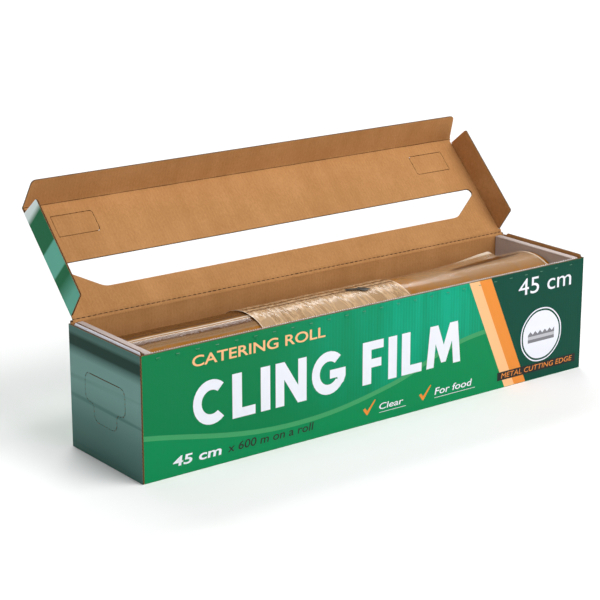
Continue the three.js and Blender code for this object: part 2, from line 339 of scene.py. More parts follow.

# %% [markdown]
# ## Printed board
# The outside is printed and varnished. Each ink is the same varnished surface in another
# colour: a soft coat over paper, rippled by the flutes, with faint rubbed patches. One
# function makes them all, so neighbouring inks keep the same gloss. The front also has a
# painted highlight patch, and the end walls and side flaps have painted reflection bands, pale and dark.

# %% Patch and bands of light
# A painted highlight: a brighter patch on the front, streaked by the flute pattern, stands in for a lamp's
# reflection on the varnish.
def add_painted_highlight(tree, toned, streak, painted_highlight):
    spot = object_place(tree, Location=(-0.35, 0, -0.75), Scale=(5.0, 0, 7.5))
    reach = node(tree, "ShaderNodeVectorMath", operation="LENGTH", Vector=spot)
    fade = map_range(tree, reach.outputs["Value"], 0.0, 1.1, 1.0, 0.0,
                     interpolation_type="SMOOTHSTEP")
    lit = maths(tree, "MULTIPLY", fade, maths(tree, "MULTIPLY_ADD", streak, 0.8, 0.4))
    return blend_colours(tree, lit, toned, painted_highlight)


# Painted reflection bands, pale and dark, laid along one direction of a panel and broken by the painted sheen
# streaks.
def add_painted_bands(tree, toned, turn, start, amount, root, direction, length, shades):
    streaky = use_group(tree, painted_sheen_streaks, Turn=(math.radians(turn), 0, 0), Start=start,
                        Amount=amount).outputs["Mask"]
    offset = node(tree, "ShaderNodeVectorMath", operation="SUBTRACT", Vector=object_place(tree))
    offset.inputs[1].default_value = root
    along = node(tree, "ShaderNodeVectorMath", operation="DOT_PRODUCT", Vector=offset.outputs[0])
    along.inputs[1].default_value = direction
    share = maths(tree, "DIVIDE", along.outputs["Value"], length)
    ragged = maths(tree, "MULTIPLY_ADD", streaky, 0.03, share)
    ramp = node(tree, "ShaderNodeValToRGB", Fac=ragged)
    stops = ramp.color_ramp.elements
    for position, _ in shades[2:]:
        stops.new(position)
    for stop, (position, shade) in zip(stops, sorted(shades)):
        stop.position = position
        stop.color = (*shade, 1)
    return blend_colours(tree, streaky, toned, ramp.outputs["Color"])


print("light on varnish ready")

# %% Inks
def ink(name, colour, rough=0.38, ripple=0.00004, coat=0.12, painted_highlight=None, bands=None):
    made, tree, shader = material(name, colour, rough, specular=0.06, coat=coat)
    fibre = use_group(tree, paper_fibre, Speck_Size=500.0, Strength=0.25)
    ripples = use_group(tree, flute_ripple, Depth=ripple)
    rubbed = use_group(tree, scuffs, Amount=0.03, Size=45.0).outputs["Mask"]
    darker = tuple(c * 0.9 for c in colour)
    lighter = tuple(min(1.0, c * 1.1) for c in colour)
    toned = blend_colours(tree, fibre.outputs["Tone"], darker, lighter)
    if painted_highlight:
        toned = add_painted_highlight(tree, toned, ripples.outputs["Streak"], painted_highlight)
    if bands:
        toned = add_painted_bands(tree, toned, **bands)
    worn = blend_colours(tree, rubbed, toned, tuple(0.6 * c + 0.15 for c in colour))
    join(tree, worn, shader.inputs["Base Color"])
    join(tree, maths(tree, "MULTIPLY_ADD", rubbed, 0.5, rough), shader.inputs["Roughness"])
    join(tree, ripples.outputs["Normal"], shader.inputs["Normal"])
    return made


green_ink = ink("green_ink", (0.0, 0.19, 0.06))
# The front's ink carries the painted highlight patch.
front_green_ink = ink("front_green_ink", (0.0, 0.19, 0.06), painted_highlight=(0.0, 0.36, 0.21))
light_green_ink = ink("light_green_ink", (0.0, 0.23, 0.075))
arc_ink = ink("arc_ink", (0.05, 0.32, 0.12))
deep_green_ink = ink("deep_green_ink", (0.0, 0.06, 0.036))
# The end walls' bands are painted reflection: pale in the middle and a dark band near the top.
DARK_END, DULL_END, PALE_END = (0.003, 0.030, 0.020), (0.040, 0.10, 0.085), (0.150, 0.29, 0.262)
end_green_ink = ink("end_green_ink", (0.010, 0.075, 0.055), rough=0.42, ripple=0.00003, coat=0.04, bands=dict(
    turn=0, start=0.20, amount=0.95, root=(0, 0, 0), direction=(0, 0, 1), length=front_top, shades=[
        (0.0, DULL_END), (0.30, (0.075, 0.165, 0.145)), (0.62, PALE_END), (0.80, PALE_END),
        (0.87, DULL_END), (0.885, DARK_END), (0.955, DARK_END), (0.985, (0.06, 0.14, 0.12))]))
# The side flaps' bands are painted reflection, with a near-white painted highlight at the end away from the
# lid crease.
LEAF, SHEEN = (0.0, 0.125, 0.045), (0.105, 0.40, 0.30)
flap_green_ink = ink("flap_green_ink", LEAF, rough=0.4, ripple=0.00003, coat=0.05, bands=dict(
    turn=-45, start=0.12, amount=1.0, root=lid_crease, direction=lid_along, length=lid_depth, shades=[
        (0.0, SHEEN), (0.16, (0.10, 0.36, 0.27)), (0.30, LEAF), (0.37, LEAF), (0.385, SHEEN),
        (0.585, SHEEN), (0.60, LEAF), (0.86, LEAF), (0.91, (0.62, 0.74, 0.72)), (1.0, (0.80, 0.85, 0.86))]))
peach_ink = ink("peach_ink", (0.92, 0.50, 0.24))
orange_ink = ink("orange_ink", (0.78, 0.26, 0.04))
white_ink = ink("white_ink", (0.80, 0.81, 0.88))
black_ink = ink("black_ink", (0.02, 0.024, 0.022))
grey_ink = ink("grey_ink", (0.20, 0.20, 0.22))
pale_grey_ink = ink("pale_grey_ink", (0.50, 0.50, 0.54))
print("inks:", [m.name for m in bpy.data.materials if m.name.endswith("_ink")])

# %% [markdown]
# ## Bare board
# The inside faces are uncoated brown kraft paper, slightly streaked by the flutes behind
# them. The end liners are faced with white paper. Where the board is cut, its edge shows
# two brown skins and the wavy sheet between them, drawn along the edge from the piece's
# own UV map: U counts millimetres along the edge and V goes from one skin to the other.

# %% Kraft and white faces
def paper(name, colour, shade, relief, streaks, rub=0.2, fibres=1.0):
    made, tree, shader = material(name, colour, 0.82, specular=0.08)
    fibre = use_group(tree, paper_fibre, Strength=fibres, Relief=relief)
    streak = use_group(tree, flute_ripple).outputs["Streak"]
    rubbed = use_group(tree, scuffs, Amount=rub, Size=28.0).outputs["Mask"]
    toned = blend_colours(tree, fibre.outputs["Tone"], shade, colour)
    lined = blend_colours(tree, maths(tree, "MULTIPLY", streak, streaks), toned, shade)
    marked = blend_colours(tree, rubbed, lined, tuple(c * 0.8 for c in shade))
    join(tree, marked, shader.inputs["Base Color"])
    join(tree, fibre.outputs["Normal"], shader.inputs["Normal"])
    return made


kraft = paper("kraft_face", (0.61, 0.32, 0.132), (0.35, 0.16, 0.052), 0.00007, 0.35, fibres=1.7)
# The white paper is given a darker, warmer grey than white: painted shade from the inside of the box.
white_face = paper("white_face", (0.60, 0.52, 0.49), (0.42, 0.35, 0.32), 0.00003, 0.1, rub=0.12)
print("papers:", kraft.name, white_face.name)

# %% Cut edge
def make_cut_edge():
    made, tree, shader = material("cut_edge", (0.30, 0.15, 0.06), 0.9, specular=0.2)
    seat = node(tree, "ShaderNodeUVMap", uv_map="edge").outputs[0]
    split = node(tree, "ShaderNodeSeparateXYZ", Vector=seat)
    along, depth = split.outputs["X"], split.outputs["Y"]
    wave = maths(tree, "SINE", maths(tree, "MULTIPLY", along, 2 * math.pi / (FLUTE_PITCH / MM)))
    middle = maths(tree, "MULTIPLY_ADD", wave, 0.33, 0.5)
    off_wave = maths(tree, "ABSOLUTE", maths(tree, "SUBTRACT", depth, middle))
    off_middle = maths(tree, "ABSOLUTE", maths(tree, "SUBTRACT", depth, 0.5))
    fluting = maths(tree, "LESS_THAN", off_wave, 0.13)
    skins = maths(tree, "GREATER_THAN", off_middle, 0.36)
    solid_part = maths(tree, "MAXIMUM", fluting, skins)
    fibre = use_group(tree, paper_fibre, Strength=1.2)
    light = blend_colours(tree, fibre.outputs["Tone"], (0.16, 0.07, 0.025), (0.34, 0.17, 0.07))
    # The open flute channels between the skins and the wavy sheet are painted near black: painted shade
    # inside the channels.
    shown = blend_colours(tree, solid_part, (0.05, 0.022, 0.009), light)
    join(tree, shown, shader.inputs["Base Color"])
    join(tree, bump(tree, solid_part, 0.0003), shader.inputs["Normal"])
    return made


cut_edge = make_cut_edge()
print("edge:", cut_edge.name)

# %% [markdown]
# ## Turning the panels into board
# The panels are already the right shape, so each is copied, its loose triangles are merged,
# and its faces are sorted by the way they point: print outside, paper inside, cut edge
# round the rim. A small bevel then softens the rim. Copying keeps the windows, slits and
# mitred creases exactly where the joints expect them.

# %% Mesh helpers
def only(piece):
    bpy.ops.object.select_all(action="DESELECT")
    piece.select_set(True)
    bpy.context.view_layer.objects.active = piece


def finish_modifiers(piece):
    only(piece)
    for modifier in list(piece.modifiers):
        bpy.ops.object.modifier_apply(modifier=modifier.name)


def bevel_rim(piece, width, segments):
    bevel = piece.modifiers.new("rim", "BEVEL")
    bevel.width = width
    bevel.segments = segments
    bevel.limit_method = "ANGLE"
    bevel.angle_limit = math.radians(50)
    finish_modifiers(piece)


def thicken(piece, name, thickness, offset=-1):
    thick = piece.modifiers.new(name, "SOLIDIFY")
    thick.thickness = thickness
    thick.offset = offset
    finish_modifiers(piece)


def to_object_mode():
    bpy.ops.mesh.select_all(action="DESELECT")
    bpy.ops.object.mode_set(mode="OBJECT")


def clean_mesh(piece, merge=0.0):
    only(piece)
    bpy.ops.object.mode_set(mode="EDIT")
    bpy.ops.mesh.select_all(action="SELECT")
    if merge:
        bpy.ops.mesh.remove_doubles(threshold=merge)
    bpy.ops.mesh.normals_make_consistent(inside=False)
    to_object_mode()


def pick_faces(piece, test):
    bpy.ops.object.mode_set(mode="EDIT")
    bpy.ops.mesh.select_all(action="DESELECT")
    mesh = bmesh.from_edit_mesh(piece.data)
    for face in mesh.faces:
        face.select_set(test(face.normal))
    bmesh.update_edit_mesh(piece.data)


def join_pieces(pieces, name):
    only(pieces[0])
    for piece in pieces:
        piece.select_set(True)
    bpy.ops.object.join()
    bpy.context.object.name = name
    return bpy.context.object


print("mesh helpers ready")

# %% A panel made of board
FLAT_FACE = (20 * MM) ** 2
RIM = 0.12 * MM
PRINT_SIDE, PAPER_SIDE, CUT_SIDE, WRAPPED_SIDE = range(4)


def copy_of(node_name, name):
    only(frame["nodes"][node_name])
    bpy.ops.object.duplicate()
    piece = bpy.context.object
    piece.name = name
    piece.parent = None
    for key in [k for k in piece.keys() if k.startswith("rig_")]:
        del piece[key]
    piece.data.materials.clear()
    bpy.ops.object.mode_set(mode="EDIT")
    bpy.ops.mesh.select_all(action="SELECT")
    bpy.ops.mesh.remove_doubles(threshold=0.01 * MM)
    bpy.ops.mesh.dissolve_limited(angle_limit=math.radians(0.5))
    to_object_mode()
    return piece


def edge_uv(piece, outward):
    layer = piece.data.uv_layers.new(name="edge")
    top = max(v.co.dot(outward) for v in piece.data.vertices)
    for face in piece.data.polygons:
        along = outward.cross(face.normal)
        along = along.normalized() if along.length > 0.2 else across
        for loop in face.loop_indices:
            point = piece.data.vertices[piece.data.loops[loop].vertex_index].co
            depth = (top - point.dot(outward)) / board
            layer.data[loop].uv = (point.dot(along) / MM, depth)


def board_piece(node_name, body, outward, outside, inside):
    piece = copy_of(node_name, node_name + "_board")
    for finish in (outside, inside, cut_edge):
        piece.data.materials.append(finish)
    for face in piece.data.polygons:
        facing = face.normal.dot(outward)
        face.material_index = PRINT_SIDE if facing > 0.15 else PAPER_SIDE if facing < -0.9 else CUT_SIDE
    edge_uv(piece, outward)
    bevel_rim(piece, RIM, 1)
    bpy.ops.object.shade_smooth_by_angle(angle=math.radians(24))
    for face in piece.data.polygons:
        if face.area > FLAT_FACE:
            face.use_smooth = False
    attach(piece, body)
    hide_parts(node_name)
    return piece


print("board maker ready")

# %% The tray, its ends and the lid
board_piece("bottom_panel", "box", down, green_ink, kraft)
board_piece("front_panel", "box", forward, front_green_ink, kraft)
board_piece("back_panel", "box", rear, green_ink, kraft)
for side, name in ((-1, "left"), (1, "right")):
    away = Vector((side, 0, 0))
    board_piece(f"{name}_end_panel", "box", away, end_green_ink, kraft)
    board_piece(f"{name}_push_tab", f"{name}_tab", away, end_green_ink, kraft)
    board_piece(f"{name}_dust_flap", "box", away, white_ink, kraft)
    board_piece(f"{name}_liner_riser", "box", away, white_face, kraft)
    board_piece(f"{name}_liner_wall", "box", -away, white_face, kraft)
    board_piece(f"lid_{name}_flap", f"{name}_flap", away, flap_green_ink, kraft)
    board_piece(f"lid_{name}_tongue", f"{name}_tongue", -lid_inward, green_ink, kraft)
board_piece("lid_panel", "lid", -lid_inward, green_ink, kraft)
board_piece("lid_front_flap", "front_flap", -flap_inward, green_ink, kraft)

# %% [markdown]
# ## Uncut ties
# The tabs in the end walls and the tongues in the lid are perforated, not cut through: short
# ties of paper bridge the slit every few millimetres. Each tie is a thin box over the slit.
# The outline is read from the piece's own largest face, and the hinged side is left out.

# %% Ties across the perforated slits
def outline_of(piece, outward):
    facing = [f for f in piece.data.polygons if f.normal.dot(outward) > 0.9]
    biggest = max(facing, key=lambda f: f.area)
    return [piece.data.vertices[v].co.copy() for v in biggest.vertices]


def ties(name, piece_name, body, outward, finish, slit, cover, spacing, bridged, sunk, hinge_side):
    outline = outline_of(bpy.data.objects[piece_name], outward)
    made = []
    travelled = spacing / 2
    for start, end in zip(outline, outline[1:] + outline[:1]):
        step = end - start
        if hinge_side(start) and hinge_side(end):
            continue
        along = step.normalized()
        aside = along.cross(outward)
        turn = Matrix((along, aside, outward)).transposed().to_euler()
        while travelled < step.length:
            at = start + along * travelled + aside * slit / 2 - outward * sunk
            bpy.ops.mesh.primitive_cube_add(size=1, location=at, rotation=turn,
                                            scale=(spacing * bridged, cover, TIE_THICKNESS))
            made.append(bpy.context.object)
            travelled += spacing
        travelled -= step.length
    joined = join_pieces(made, name)
    bpy.ops.object.transform_apply(location=True, rotation=True, scale=True)
    joined.data.materials.append(finish)
    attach(joined, body)
    return len(made)


TIE_THICKNESS = 0.08 * MM
SUNK = 0.06 * MM
PROUD = -0.01 * MM
TAB_SLIT, TONGUE_SLIT = 0.6 * MM, 0.3 * MM
for side, name in ((-1, "left"), (1, "right")):
    away = Vector((side, 0, 0))
    tab_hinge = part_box(f"{name}_push_tab")[1].z - 0.3 * MM
    tongue_hinge = max(abs(corner.x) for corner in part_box(f"lid_{name}_tongue")) - 0.6 * MM
    count = ties(f"{name}_tab_ties", f"{name}_push_tab_board", "box", away, end_green_ink,
                 TAB_SLIT, 0.64 * MM, 4 * MM, 0.72, SUNK,
                 lambda point: point.z > tab_hinge)
    count += ties(f"{name}_tongue_ties", f"lid_{name}_tongue_board", "lid", lid_inward, kraft,
                  TONGUE_SLIT, 0.34 * MM, 6 * MM, 0.5, SUNK,
                  lambda point: abs(point.x) > tongue_hinge)
    count += ties(f"{name}_tongue_print_ties", f"lid_{name}_tongue_board", "lid", -lid_inward, green_ink,
                  TONGUE_SLIT, 1.3 * MM, 2 * MM, 1.1, PROUD,
                  lambda point: abs(point.x) > tongue_hinge)
    print(name, "ties:", count)

# %% [markdown]
# ## Rolled-over ledges
# At each end the white liner comes up, turns flat and goes down again. The flat part is the
# ledge that the shut lid lies on, so its two long edges are folds, not cuts, and are rounded.

# %% Ledges
def make_ledge(name):
    node_name = f"{name}_liner_ledge"
    piece = copy_of(node_name, node_name + "_board")
    piece.data.materials.append(white_face)
    low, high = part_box(node_name)

    def on_fold(point):
        on_side = abs(point.x - low.x) < near or abs(point.x - high.x) < near
        return on_side and point.z > high.z - near

    only(piece)
    bpy.ops.object.mode_set(mode="EDIT")
    bpy.ops.mesh.select_mode(type="EDGE")
    bpy.ops.mesh.select_all(action="DESELECT")
    mesh = bmesh.from_edit_mesh(piece.data)
    for edge in [e for e in mesh.edges if all(on_fold(v.co) for v in e.verts)]:
        edge.select_set(True)
    bmesh.update_edit_mesh(piece.data)
    bpy.ops.mesh.bevel(offset=1.0 * MM, segments=4, affect="EDGES")
    bpy.ops.mesh.select_mode(type="VERT")
    to_object_mode()
    bpy.ops.object.shade_smooth_by_angle(angle=math.radians(35))
    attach(piece, "box")
    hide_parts(node_name)
    return piece


ledges = [make_ledge("left"), make_ledge("right")]
print("ledges:", [p.name for p in ledges])

# %% [markdown]
# ## Fold skins
# Board doesn't stop at a crease: its paper skins run on round the fold. Each crease gets a
# thin outer and inner skin across the small gap between its two panels. The lid's crease is
# also perforated, which shows inside as a broken dark line.
# The broken dark line is painted shade in the perforation's slits, and the other creases' inner skins have a
# darker middle: painted shade in the fold.

# %% Crease finishes
def perforated(name, base, dash):
    made, tree, shader = material(name, base, 0.85, specular=0.2)
    place = object_place(tree)
    lengthwise = node(tree, "ShaderNodeSeparateXYZ", Vector=place).outputs["X"]
    wobble = noise_at(tree, place, Scale=60.0, Detail=3.0)
    dashes = maths(tree, "SINE", maths(tree, "MULTIPLY", lengthwise, 2 * math.pi / dash))
    gate = maths(tree, "ADD", dashes, maths(tree, "MULTIPLY", wobble, 2.6))
    cut = map_range(tree, gate, 0.95, 1.35)
    fibre = use_group(tree, paper_fibre, Strength=1.3)
    torn = blend_colours(tree, fibre.outputs["Tone"], tuple(c * 0.55 for c in base), base)
    # The slits of the perforation are painted near black: painted shade in the open cuts.
    join(tree, blend_colours(tree, cut, torn, (0.045, 0.02, 0.01)), shader.inputs["Base Color"])
    join(tree, bump(tree, cut, 0.0004, invert=True), shader.inputs["Normal"])
    return made


perforated_kraft = perforated("perforated_kraft", (0.42, 0.22, 0.09), 5.2 * MM)
# A darker kraft for the middle bands of the creases' inner skins: painted shade in the fold.
painted_crease_shade = paper("painted_crease_shade", (0.19, 0.085, 0.03), (0.09, 0.036, 0.012), 0.00005, 0.3,
                      rub=0.5, fibres=2.0)
print("crease finishes ready")

# %% Skins across the folds
SKIN_STEPS = 60
SKIN_THICKNESS = 0.12 * MM
# Vector noise starts from the clock unless it is given a seed.
noise.seed_set(7)


def skin(name, profile, along, start, length, finish, marked, jitter):
    bands = len(profile) - 1
    bpy.ops.mesh.primitive_grid_add(x_subdivisions=SKIN_STEPS, y_subdivisions=bands, size=1)
    piece = bpy.context.object
    piece.name = name
    rows = sorted({round(v.co.y, 5) for v in piece.data.vertices})
    seed = Vector((len(name) * 0.37, start, 0))
    for each in finish:
        piece.data.materials.append(each)
    for face in piece.data.polygons:
        band = int((face.center.y + 0.5) * bands)
        face.material_index = 1 if band in marked else 0
    for vertex in piece.data.vertices:
        row = rows.index(round(vertex.co.y, 5))
        travel = start + (vertex.co.x + 0.5) * length
        vertex.co = profile[row] + along * travel
        if 0 < row < bands:
            vertex.co += noise.noise_vector(seed + Vector((travel * 90, row * 0.4, 0))) * jitter
    piece.data.update()
    thicken(piece, "paper", SKIN_THICKNESS, offset=0)
    clean_mesh(piece)
    bpy.ops.object.shade_smooth_by_angle(angle=math.radians(60))
    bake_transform(piece)
    piece.parent = None


def fold(name, pivot, along, span, a_dir, a_in, b_dir, b_in, inner_finish, marked, outer_finish):
    lift = 0.05 * MM
    mitre = board + 0.25 * MM
    tail = 1.1 * MM
    shoulder = 0.35 * MM
    crown = 0.14 * MM
    outer = [
        pivot + a_dir * tail - a_in * lift,
        pivot + a_dir * shoulder,
        pivot + (a_in + b_in).normalized() * crown,
        pivot + b_dir * shoulder,
        pivot + b_dir * tail - b_in * lift,
    ]
    a_edge = pivot + a_dir * mitre + a_in * (board + lift)
    b_edge = pivot + b_dir * mitre + b_in * (board + lift)
    bridge = [a_edge.lerp(b_edge, t) for t in (0.2, 0.42, 0.58, 0.8)]
    middle = [pivot + (p - pivot) * (0.97 - 0.07 * (i in (1, 2))) for i, p in enumerate(bridge)]
    inner = [a_edge + a_dir * tail, a_edge, *middle, b_edge, b_edge + b_dir * tail]
    start, length = span
    skin(f"{name}_outer_skin", outer, along, start, length, outer_finish, (),
         0.02 * MM)
    skin(f"{name}_inner_skin", inner, along, start, length, inner_finish, marked,
         0.25 * MM)


fold("lid_crease", lid_crease, across, (-lid_half, 2 * lid_half),
     down, forward, lid_along, lid_inward, (kraft, perforated_kraft), (3,), (green_ink,))
fold("front_flap_crease", fold_crease, across,
     (-lid_half + 0.6 * MM, 2 * lid_half - 1.2 * MM),
     -lid_along, lid_inward, flap_along, flap_inward, (kraft, painted_crease_shade), (1, 2, 3), (green_ink,))
for side, name in ((-1, "left"), (1, "right")):
    pivot = Vector((side * lid_half, lid_crease.y, lid_crease.z))
    away = Vector((side, 0, 0))
    fold(f"{name}_flap_crease", pivot, lid_along, (4 * MM, lid_depth - 11 * MM),
         -away, lid_inward, lid_inward, -away, (kraft, painted_crease_shade), (1, 2, 4), (flap_green_ink,))

# %% [markdown]
# ## Toothed strip
# The cutter is a thin bright steel strip with fine teeth. Its shape is already right, so it
# only needs a finish: steel with fine lengthwise brushing and a few darker smears. Where its
# points come through the front, the print has coloured them.

# %% Steel
def make_steel():
    made, tree, shader = material("toothed_steel", (0.72, 0.73, 0.74), 0.25, metallic=1.0)
    brush = noise_at(tree, object_place(tree, Scale=(0.05, 1.0, 1.0)), Scale=4000.0, Detail=2.0)
    smear = use_group(tree, scuffs, Amount=0.6, Size=90.0).outputs["Mask"]
    tone = blend_colours(tree, brush, (0.80, 0.81, 0.82), (0.96, 0.97, 0.98))
    bright = blend_colours(tree, smear, tone, (0.60, 0.60, 0.61))
    depth = node(tree, "ShaderNodeSeparateXYZ", Vector=object_place(tree)).outputs["Y"]
    inked = maths(tree, "LESS_THAN", depth, front_y + 0.1 * MM)
    join(tree, blend_colours(tree, inked, bright, (0.10, 0.26, 0.17)), shader.inputs["Base Color"])
    join(tree, maths(tree, "MULTIPLY_ADD", inked, -0.7, 1.0), shader.inputs["Metallic"])
    dulled = maths(tree, "MULTIPLY_ADD", inked, 0.4, 0.3)
    join(tree, maths(tree, "MULTIPLY_ADD", brush, 0.25, dulled), shader.inputs["Roughness"])
    return made


cutter = frame["nodes"]["cutter_strip"]
cutter.data.materials.clear()
cutter.data.materials.append(make_steel())
print("cutter finish:", cutter.data.materials[0].name)

# %% [markdown]
# ## Clinch marks
# The strip's points are pressed through the board and turned over, which leaves a row of
# small raised, puckered marks just below the front edge. One mark is modelled from a short
# cylinder and puckered with noise, once at every point of the strip.

# %% A clinch mark at each point
MARK_RADIUS, MARK_DEPTH = 2.3 * MM, 0.36 * MM
MARK_RIM = 1.6 * MM
MARK_INSETS = ((0.75 * MM, 0), (0.5 * MM, -0.14 * MM), (0.35 * MM, 0.1 * MM))
PUCKER = 0.8 * MM


def make_clinch_marks():
    points = [v.co for v in frame["nodes"]["cutter_strip"].data.vertices if v.co.y < front_y - near]
    prongs = sorted({round(point.x, 4) for point in points})
    lefts = prongs[::2]
    width = prongs[1] - prongs[0]
    low_z = min(point.z for point in points)
    draw = random.Random(7)
    marks = []
    for left in lefts:
        at = (left + width / 2, front_y, low_z + draw.uniform(-0.4, 0.4) * MM)
        bpy.ops.mesh.primitive_cylinder_add(vertices=14, radius=MARK_RADIUS, depth=MARK_DEPTH, location=at,
                                            rotation=(math.pi / 2, draw.uniform(0, 1.5), 0))
        mark = bpy.context.object
        bpy.ops.object.transform_apply(location=True, rotation=True, scale=True)
        pick_faces(mark, lambda normal: normal.y < -0.9)
        for thickness, depth in MARK_INSETS:
            bpy.ops.mesh.inset(thickness=thickness, depth=depth)
        to_object_mode()
        size = draw.uniform(0.75, 1.15)
        for vertex in mark.data.vertices:
            vertex.co.x = at[0] + (vertex.co.x - at[0]) * size
            vertex.co.z = at[2] + (vertex.co.z - at[2]) * size * 0.8
            vertex.co.x += noise.noise(vertex.co * 900) * PUCKER
            vertex.co.z += noise.noise(vertex.co * 700 + Vector((3, 1, 2))) * PUCKER
            if Vector((vertex.co.x - at[0], vertex.co.z - at[2])).length > MARK_RIM * size:
                vertex.co.y = max(vertex.co.y, front_y - near)
        marks.append(mark)
    joined = join_pieces(marks, "clinch_marks")
    bpy.ops.object.shade_smooth()
    return joined, len(lefts)


clinch_marks, clinch_count = make_clinch_marks()
print("clinch marks:", clinch_count)

# %% [markdown]
# ## Print on the front
# The artwork is flat ink, so it is made as very thin shapes lying on the front face: fields
# of lighter and darker green, a rising pale arc, two slanted stripes, a round badge with a
# toothed bar in it, and plain lettering. Outlines are 2D curves turned into meshes. Their
# points are in millimetres, and each layer sits a few hundredths of one above the last.

# %% Flat shapes and lettering
LAYER = 0.03 * MM


def ink_on_front(piece, finish, layer):
    piece.data.materials.clear()
    piece.data.materials.append(finish)
    standing = Matrix.Rotation(math.pi / 2, 4, "X")
    piece.data.transform(Matrix.Translation((0, front_y - layer * LAYER, 0)) @ standing)
    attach(piece, "box")


def flat_shape(name, loops, finish, layer):
    curve = bpy.data.curves.new(name, "CURVE")
    curve.dimensions = "2D"
    curve.fill_mode = "BOTH"
    curve.resolution_u = 10
    curve.extrude = LAYER / 2
    for loop in loops:
        spline = curve.splines.new("BEZIER")
        spline.bezier_points.add(len(loop) - 1)
        for point, (x, z, *smooth) in zip(spline.bezier_points, loop):
            point.co = (x * MM, z * MM, 0)
            point.handle_left_type = point.handle_right_type = "AUTO" if smooth else "VECTOR"
        spline.use_cyclic_u = True
    piece = bpy.data.objects.new(name, curve)
    bpy.context.scene.collection.objects.link(piece)
    only(piece)
    bpy.ops.object.convert(target="MESH")
    piece = bpy.context.object
    ink_on_front(piece, finish, layer)
    clean_mesh(piece, merge=0.002 * MM)


def rectangle(x0, x1, z0, z1):
    return [(x0, z0), (x1, z0), (x1, z1), (x0, z1)]


def lettering(name, words, x, z, width, height, finish, layer=5, slant=0.0, weight=0.0):
    bpy.ops.object.text_add()
    piece = bpy.context.object
    piece.name = name
    text = piece.data
    text.body = words
    text.shear = slant
    text.offset = weight
    text.resolution_u = 5
    bpy.context.view_layer.update()
    corners = [Vector(c) for c in piece.bound_box]
    low = Vector(map(min, *corners))
    high = Vector(map(max, *corners))
    grow = Vector((width * MM / (high.x - low.x), height * MM / (high.y - low.y), 1))
    piece.scale = grow
    piece.location = (x * MM - low.x * grow.x, z * MM - low.y * grow.y, 0)
    only(piece)
    bpy.ops.object.convert(target="MESH")
    bpy.ops.object.transform_apply(location=True, rotation=True, scale=True)
    piece = bpy.context.object
    thicken(piece, "ink", LAYER)
    bpy.ops.object.shade_flat()
    ink_on_front(piece, finish, layer)


left_x = (RIM - front_high.x) / MM
right_x = -left_x
top_z = (front_top - RIM) / MM
print(f"print area {right_x - left_x:.0f} by {top_z:.0f} mm")

# %% Fields, arc and stripes
LEAN = 46
FOOT = 0.4
STRIPES = (100, 112, 126)
ARC_END = 160


def slanted_band(name, left, right, finish, layer):
    flat_shape(name, [[
        (left, top_z), (right, top_z), (min(right + LEAN, right_x), FOOT), (left + LEAN, FOOT),
    ]], finish, layer)


arc_top = [(left_x, 40), (-100, 20, "smooth"), (10, 32, "smooth"), (90, 56, "smooth"), (ARC_END, 62)]
arc_low = [(x, z - 4.2, *smooth) for x, z, *smooth in arc_top]
flat_shape("light_green_field", [[*arc_top, (ARC_END, FOOT), (left_x, FOOT)]], light_green_ink, 1)
flat_shape("pale_arc", [[*arc_top, *reversed(arc_low)]], arc_ink, 2)
slanted_band("deep_green_field", 124, right_x, deep_green_ink, 3)
slanted_band("peach_stripe", STRIPES[0], STRIPES[1], peach_ink, 4)
slanted_band("orange_stripe", STRIPES[1], STRIPES[2], orange_ink, 4)
front_board = bpy.data.objects["front_panel_board"]
front_board.data.materials.append(deep_green_ink)
for face in front_board.data.polygons:
    if face.center.x > right_x * MM - near and face.material_index == PRINT_SIDE:
        face.material_index = WRAPPED_SIDE
    if face.normal.z > 0.5:
        face.material_index = CUT_SIDE
right_end_board = bpy.data.objects["right_end_panel_board"]
right_end_board.data.materials.append(deep_green_ink)
for face in right_end_board.data.polygons:
    if face.normal.y < -0.5:
        face.material_index = WRAPPED_SIDE

# %% Badge with a toothed bar
def circle(x, z, radius, points=8):
    turn = [2 * math.pi * i / points for i in range(points)]
    return [(x + radius * math.cos(a), z + radius * math.sin(a), "smooth") for a in turn]


badge_x, badge_z = 190, 42
flat_shape("badge_ring", [circle(badge_x, badge_z, 25.5), circle(badge_x, badge_z, 24.3)], white_ink, 6)
flat_shape("badge_disc", [circle(badge_x, badge_z, 22.6)], white_ink, 6)
teeth_x = [badge_x - 16.5 + 3 * i for i in range(12)]
tooth_line = [(x, badge_z + (4.5 if i % 2 else 1.5)) for i, x in enumerate(teeth_x)]
flat_shape("badge_strip", [[*tooth_line, (teeth_x[-1], badge_z - 6), (teeth_x[0], badge_z - 6)]],
           grey_ink, 7)
flat_shape("badge_strip_shine", [rectangle(teeth_x[0], teeth_x[-1], badge_z - 3, badge_z)],
           pale_grey_ink, 8)
flat_shape("banner", [rectangle(136.7, 235, 7.5, 15.4)], black_ink, 8)
print("badge at", badge_x, badge_z)

# %% Bold title letters
def ring_part(start, end, radius):
    turn = [math.radians(start + (end - start) * i / 22) for i in range(23)]
    return [(0.47 + radius * 0.94 * math.cos(a), 0.5 + radius * math.sin(a)) for a in turn]


